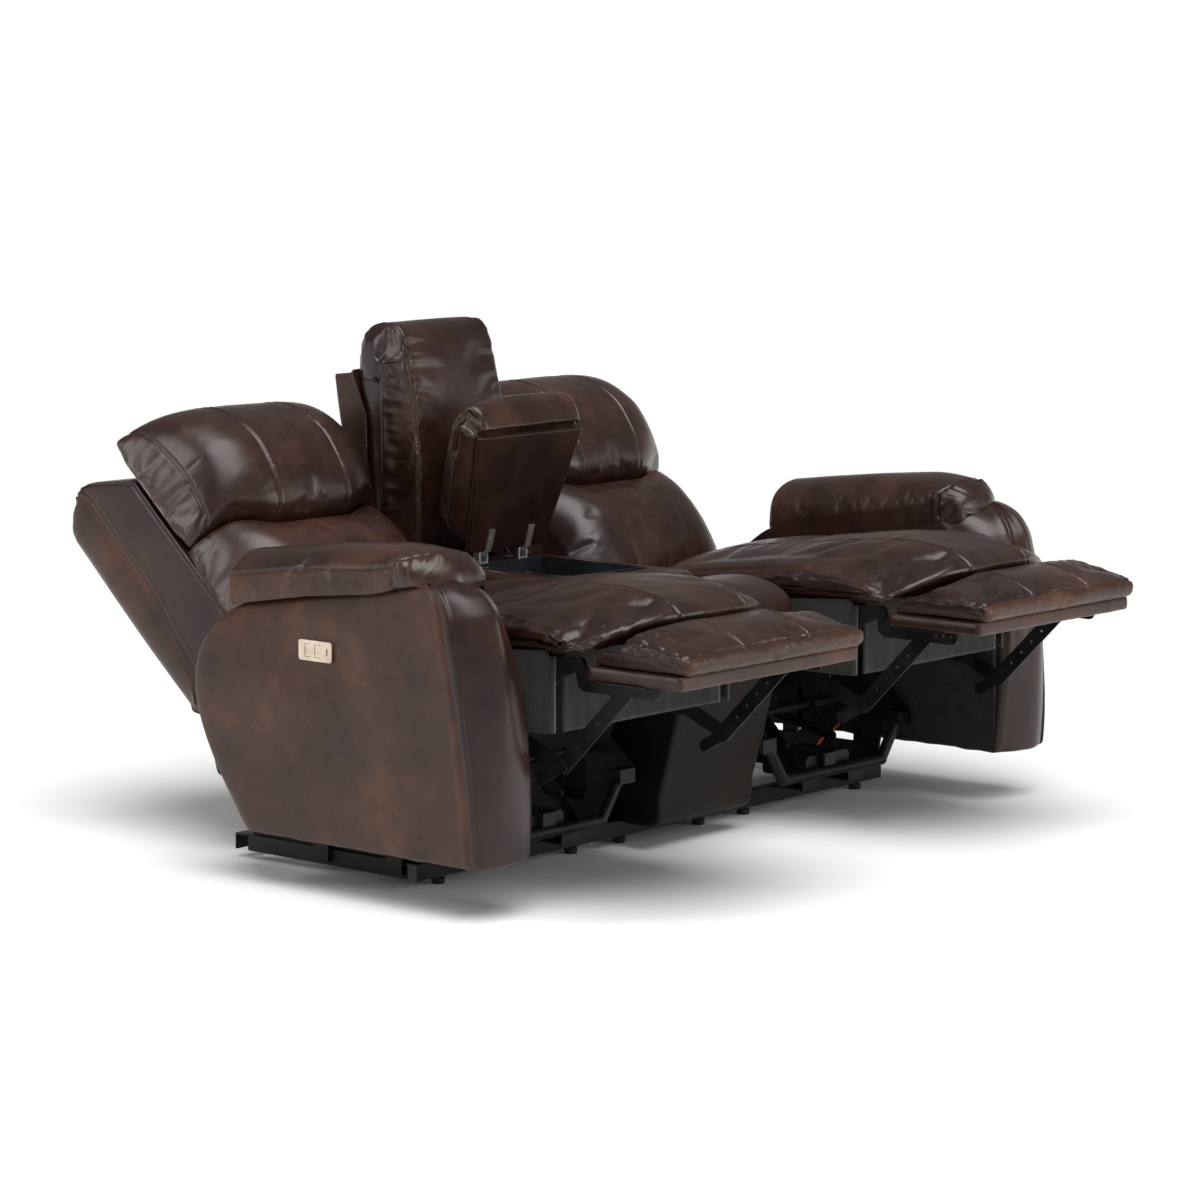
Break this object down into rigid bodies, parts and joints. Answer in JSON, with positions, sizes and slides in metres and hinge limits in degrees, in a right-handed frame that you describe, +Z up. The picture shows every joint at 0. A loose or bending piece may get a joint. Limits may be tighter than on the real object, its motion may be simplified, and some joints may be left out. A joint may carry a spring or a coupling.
{
  "type": "reclining loveseat",
  "caption": "Two-seat reclining loveseat with tilting headrests, fold-out footrests and a lidded console between the seats.",
  "frame": {"origin": "on the floor, under the middle of the reclined sofa's overall box", "axes": "+X to the right for a viewer who faces the front of the sofa, the front faces -Y, +Z up"},
  "size_m": [1.922, 1.6874, 1.05],
  "materials": {
    "cushion_leather": "semi-gloss",
    "side_leather": "semi-gloss",
    "black_steel": "satin",
    "spring_steel": "oiled",
    "foot_rubber": "matte",
    "satin_nickel": "satin",
    "bin_plastic": "gloss",
    "hinge_chrome": "polished",
    "motor_plastic": "matte",
    "red_lead": "matte",
    "felt": "felt",
    "black_cloth": "woven",
    "plywood": "raw"
  },
  "bodies": {
    "frame": {"front_cross_rail": "black_steel", "rear_cross_rail": "black_steel", "side_rails": "black_steel", "arm_lugs": "black_steel", "glide_feet": "foot_rubber", "left_arm": "side_leather", "left_arm_pad": "cushion_leather", "left_switch_plate": "satin_nickel", "right_arm": "side_leather", "right_arm_pad": "cushion_leather", "right_switch_plate": "satin_nickel", "console_box": "cushion_leather", "console_surround": "cushion_leather", "console_bin": "bin_plastic", "console_hinge_leaves": "hinge_chrome", "middle_back_shell": "side_leather", "middle_back_pillow": "cushion_leather", "left_mechanism_base": "black_steel", "left_motor": "motor_plastic", "right_mechanism_base": "black_steel", "right_motor": "motor_plastic", "right_motor_lead": "red_lead"},
    "left_seat": {"left_seat_frame": "black_steel", "left_seat_springs": "spring_steel", "left_seat_cushion": "cushion_leather", "left_apron": "felt"},
    "left_back": {"left_back_brackets": "black_steel", "left_back_shell": "side_leather", "left_lumbar_pillow": "cushion_leather", "left_back_flap": "black_cloth"},
    "left_headrest": {"left_headrest_pillow": "cushion_leather", "left_headrest_board": "plywood"},
    "left_footrest": {"left_footrest_board": "side_leather", "left_footrest_pad": "cushion_leather", "left_footrest_brackets": "black_steel"},
    "left_rear_links": {"left_rear_links": "black_steel"},
    "left_front_links": {"left_front_links": "black_steel"},
    "left_recline_rocker": {"left_recline_rocker": "satin_nickel"},
    "left_headrest_rocker": {"left_headrest_rocker": "satin_nickel"},
    "right_seat": {"right_seat_frame": "black_steel", "right_seat_springs": "spring_steel", "right_seat_cushion": "cushion_leather", "right_apron": "felt"},
    "right_back": {"right_back_brackets": "black_steel", "right_back_shell": "side_leather", "right_lumbar_pillow": "cushion_leather", "right_back_flap": "black_cloth"},
    "right_headrest": {"right_headrest_pillow": "cushion_leather", "right_headrest_board": "plywood"},
    "right_footrest": {"right_footrest_board": "side_leather", "right_footrest_pad": "cushion_leather", "right_footrest_brackets": "black_steel"},
    "right_rear_links": {"right_rear_links": "black_steel"},
    "right_front_links": {"right_front_links": "black_steel"},
    "right_recline_rocker": {"right_recline_rocker": "satin_nickel"},
    "right_headrest_rocker": {"right_headrest_rocker": "satin_nickel"},
    "lid": {"lid_panel": "cushion_leather", "lid_pad": "cushion_leather", "lid_hinge_arms": "hinge_chrome"}
  },
  "joints": [
    {"name": "left_back_recline", "type": "hinge", "parent": "left_seat", "child": "left_back", "pos_m": [-0.481, 0.25928, 0.343], "axis": [1, 0, 0], "range_deg": [0, 37.6]},
    {"name": "left_seat_slide", "type": "slide", "parent": "frame", "child": "left_seat", "axis": [0, 1, 0], "range_m": [0, 0.08]},
    {"name": "left_headrest_tilt", "type": "hinge", "parent": "left_back", "child": "left_headrest", "pos_m": [-0.481, 0.37901, 0.67786], "axis": [1, 0, 0], "range_deg": [0, 25]},
    {"name": "left_footrest_fold", "type": "hinge", "parent": "left_seat", "child": "left_footrest", "pos_m": [-0.481, -0.56272, 0.484], "axis": [1, 0, 0], "range_deg": [0, 90]},
    {"name": "left_rear_link_swing", "type": "hinge", "parent": "left_seat", "child": "left_rear_links", "pos_m": [-0.481, -0.40872, 0.326], "axis": [1, 0, 0], "range_deg": [0, 90]},
    {"name": "left_front_link_swing", "type": "hinge", "parent": "left_footrest", "child": "left_front_links", "pos_m": [-0.481, -0.66772, 0.44], "axis": [1, 0, 0], "range_deg": [-90, 0]},
    {"name": "left_recline_rocker_tilt", "type": "hinge", "parent": "frame", "child": "left_recline_rocker", "pos_m": [-0.9584, -0.09072, 0.487], "axis": [0, 1, 0], "range_deg": [-6, 6], "stiffness_Nm_per_rad": 0.02},
    {"name": "left_headrest_rocker_tilt", "type": "hinge", "parent": "frame", "child": "left_headrest_rocker", "pos_m": [-0.9584, -0.06472, 0.487], "axis": [0, 1, 0], "range_deg": [-6, 6], "stiffness_Nm_per_rad": 0.02},
    {"name": "right_back_recline", "type": "hinge", "parent": "right_seat", "child": "right_back", "pos_m": [0.481, 0.25928, 0.343], "axis": [1, 0, 0], "range_deg": [0, 37.6]},
    {"name": "right_seat_slide", "type": "slide", "parent": "frame", "child": "right_seat", "axis": [0, 1, 0], "range_m": [0, 0.08]},
    {"name": "right_headrest_tilt", "type": "hinge", "parent": "right_back", "child": "right_headrest", "pos_m": [0.481, 0.37901, 0.67786], "axis": [1, 0, 0], "range_deg": [0, 25]},
    {"name": "right_footrest_fold", "type": "hinge", "parent": "right_seat", "child": "right_footrest", "pos_m": [0.481, -0.56272, 0.484], "axis": [1, 0, 0], "range_deg": [0, 90]},
    {"name": "right_rear_link_swing", "type": "hinge", "parent": "right_seat", "child": "right_rear_links", "pos_m": [0.481, -0.40872, 0.326], "axis": [1, 0, 0], "range_deg": [0, 90]},
    {"name": "right_front_link_swing", "type": "hinge", "parent": "right_footrest", "child": "right_front_links", "pos_m": [0.481, -0.66772, 0.44], "axis": [1, 0, 0], "range_deg": [-90, 0]},
    {"name": "right_recline_rocker_tilt", "type": "hinge", "parent": "frame", "child": "right_recline_rocker", "pos_m": [0.9584, -0.09072, 0.487], "axis": [0, 1, 0], "range_deg": [-6, 6], "stiffness_Nm_per_rad": 0.02},
    {"name": "right_headrest_rocker_tilt", "type": "hinge", "parent": "frame", "child": "right_headrest_rocker", "pos_m": [0.9584, -0.06472, 0.487], "axis": [0, 1, 0], "range_deg": [-6, 6], "stiffness_Nm_per_rad": 0.02},
    {"name": "lid_hinge", "type": "hinge", "parent": "frame", "child": "lid", "pos_m": [0, 0.28928, 0.562], "axis": [1, 0, 0], "range_deg": [0, 74.1]}
  ],
  "couplings": [
    {"joint": "left_seat_slide", "follows": "left_back_recline", "m_per_rad": 0.1219},
    {"joint": "left_rear_link_swing", "follows": "left_footrest_fold", "ratio": 1},
    {"joint": "left_front_link_swing", "follows": "left_footrest_fold", "ratio": -1},
    {"joint": "right_seat_slide", "follows": "right_back_recline", "m_per_rad": 0.1219},
    {"joint": "right_rear_link_swing", "follows": "right_footrest_fold", "ratio": 1},
    {"joint": "right_front_link_swing", "follows": "right_footrest_fold", "ratio": -1}
  ]
}
